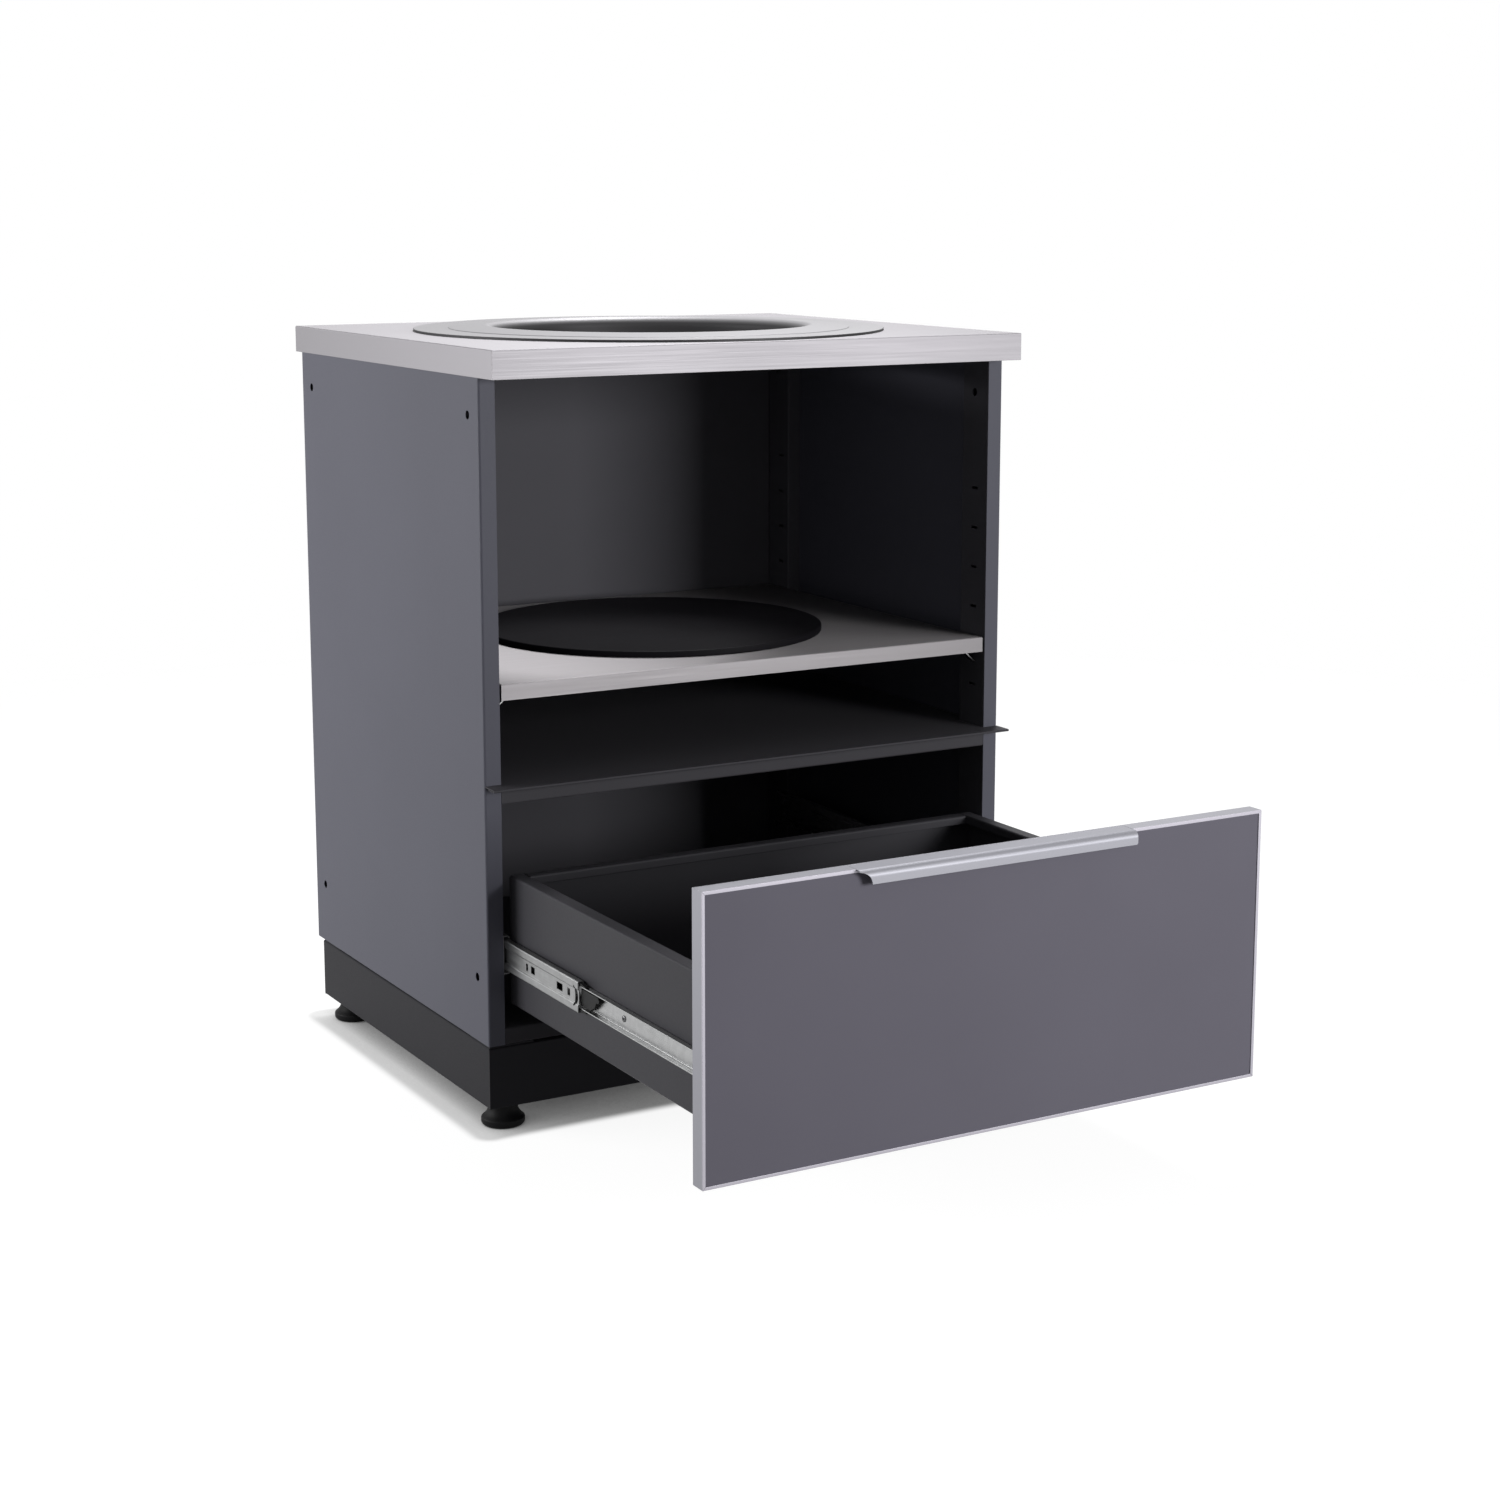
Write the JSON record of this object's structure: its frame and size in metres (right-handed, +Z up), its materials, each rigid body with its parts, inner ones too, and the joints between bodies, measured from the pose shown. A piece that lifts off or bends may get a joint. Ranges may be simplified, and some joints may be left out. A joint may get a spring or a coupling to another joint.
{
  "type": "outdoor kitchen base cabinet",
  "caption": "Steel base cabinet with a worktop opening and trim ring for a round grill, an open grill bay and a drawer on telescopic slides.",
  "frame": {"origin": "on the floor, at the centre of the footprint's box with the drawer open", "axes": "+X to the right seen from the front, +Y from the drawer front to the back, +Z up"},
  "size_m": [0.711, 1.0924, 0.9209],
  "materials": {
    "carcass_coating": "satin powder coat",
    "plinth_coating": "satin powder coat",
    "zinc_steel": "bright zinc",
    "brushed_stainless": "brushed",
    "heat_plate_iron": "matte",
    "drawer_coating": "satin powder coat",
    "face_coating": "fine powder coat",
    "front_core": "raw board",
    "anodised_aluminium": "satin anodised",
    "bumper_rubber": "matte",
    "black_plastic": "matte",
    "bearing_steel": "polished",
    "foot_plastic": "matte"
  },
  "bodies": {
    "cabinet": {"left_side_panel": "carcass_coating", "right_side_panel": "carcass_coating", "front_left_upright": "carcass_coating", "front_right_upright": "carcass_coating", "rear_left_upright": "carcass_coating", "rear_right_upright": "carcass_coating", "back_panel": "carcass_coating", "bottom_panel": "carcass_coating", "divider_shelf": "carcass_coating", "divider_rail": "carcass_coating", "top_rear_rail": "carcass_coating", "countertop": "brushed_stainless", "countertop_stiffeners": "brushed_stainless", "trim_ring": "brushed_stainless", "grill_shelf": "brushed_stainless", "shelf_stiffener": "brushed_stainless", "shelf_clips": "zinc_steel", "heat_plate": "heat_plate_iron", "plinth_front": "plinth_coating", "plinth_left": "plinth_coating", "plinth_right": "plinth_coating", "plinth_back": "plinth_coating", "plinth_corner_posts": "zinc_steel", "foot_nuts": "zinc_steel", "left_slide_cabinet_member": "zinc_steel", "right_slide_cabinet_member": "zinc_steel"},
    "drawer": {"drawer_left_side": "drawer_coating", "drawer_right_side": "drawer_coating", "drawer_back": "drawer_coating", "drawer_box_front": "drawer_coating", "drawer_bottom": "drawer_coating", "drawer_face_panel": "face_coating", "drawer_front_core": "front_core", "drawer_front_liner": "drawer_coating", "drawer_frame_left": "anodised_aluminium", "drawer_frame_right": "anodised_aluminium", "drawer_frame_top": "anodised_aluminium", "drawer_frame_bottom": "anodised_aluminium", "edge_pull": "anodised_aluminium", "drawer_bumpers": "bumper_rubber", "left_slide_drawer_member": "zinc_steel", "right_slide_drawer_member": "zinc_steel", "slide_latches": "black_plastic"},
    "left_middle_member": {"left_slide_middle_member": "zinc_steel", "left_slide_end_guides": "black_plastic"},
    "left_outer_ball_cage": {"left_outer_ball_cage": "bearing_steel"},
    "left_inner_ball_cage": {"left_inner_ball_cage": "bearing_steel"},
    "right_middle_member": {"right_slide_middle_member": "zinc_steel", "right_slide_end_guides": "black_plastic"},
    "right_outer_ball_cage": {"right_outer_ball_cage": "bearing_steel"},
    "right_inner_ball_cage": {"right_inner_ball_cage": "bearing_steel"},
    "front_left_foot": {"front_left_foot": "foot_plastic"},
    "front_right_foot": {"front_right_foot": "foot_plastic"},
    "rear_left_foot": {"rear_left_foot": "foot_plastic"},
    "rear_right_foot": {"rear_right_foot": "foot_plastic"}
  },
  "joints": [
    {"name": "drawer_slide", "type": "slide", "parent": "cabinet", "child": "drawer", "axis": [0, 1, 0], "range_m": [0, 0.488]},
    {"name": "left_middle_member_slide", "type": "slide", "parent": "cabinet", "child": "left_middle_member", "axis": [0, 1, 0], "range_m": [0, 0.244]},
    {"name": "left_outer_ball_cage_slide", "type": "slide", "parent": "cabinet", "child": "left_outer_ball_cage", "axis": [0, 1, 0], "range_m": [0, 0.122]},
    {"name": "left_inner_ball_cage_slide", "type": "slide", "parent": "cabinet", "child": "left_inner_ball_cage", "axis": [0, 1, 0], "range_m": [0, 0.366]},
    {"name": "right_middle_member_slide", "type": "slide", "parent": "cabinet", "child": "right_middle_member", "axis": [0, 1, 0], "range_m": [0, 0.244]},
    {"name": "right_outer_ball_cage_slide", "type": "slide", "parent": "cabinet", "child": "right_outer_ball_cage", "axis": [0, 1, 0], "range_m": [0, 0.122]},
    {"name": "right_inner_ball_cage_slide", "type": "slide", "parent": "cabinet", "child": "right_inner_ball_cage", "axis": [0, 1, 0], "range_m": [0, 0.366]},
    {"name": "front_left_foot_screw", "type": "slide", "parent": "cabinet", "child": "front_left_foot", "axis": [0, 0, 1], "range_m": [-0.02, 0]},
    {"name": "front_right_foot_screw", "type": "slide", "parent": "cabinet", "child": "front_right_foot", "axis": [0, 0, 1], "range_m": [-0.02, 0]},
    {"name": "rear_left_foot_screw", "type": "slide", "parent": "cabinet", "child": "rear_left_foot", "axis": [0, 0, 1], "range_m": [-0.02, 0]},
    {"name": "rear_right_foot_screw", "type": "slide", "parent": "cabinet", "child": "rear_right_foot", "axis": [0, 0, 1], "range_m": [-0.02, 0]}
  ],
  "couplings": [
    {"joint": "left_middle_member_slide", "follows": "drawer_slide", "ratio": 0.5},
    {"joint": "left_outer_ball_cage_slide", "follows": "drawer_slide", "ratio": 0.25},
    {"joint": "left_inner_ball_cage_slide", "follows": "drawer_slide", "ratio": 0.75},
    {"joint": "right_middle_member_slide", "follows": "drawer_slide", "ratio": 0.5},
    {"joint": "right_outer_ball_cage_slide", "follows": "drawer_slide", "ratio": 0.25},
    {"joint": "right_inner_ball_cage_slide", "follows": "drawer_slide", "ratio": 0.75}
  ]
}
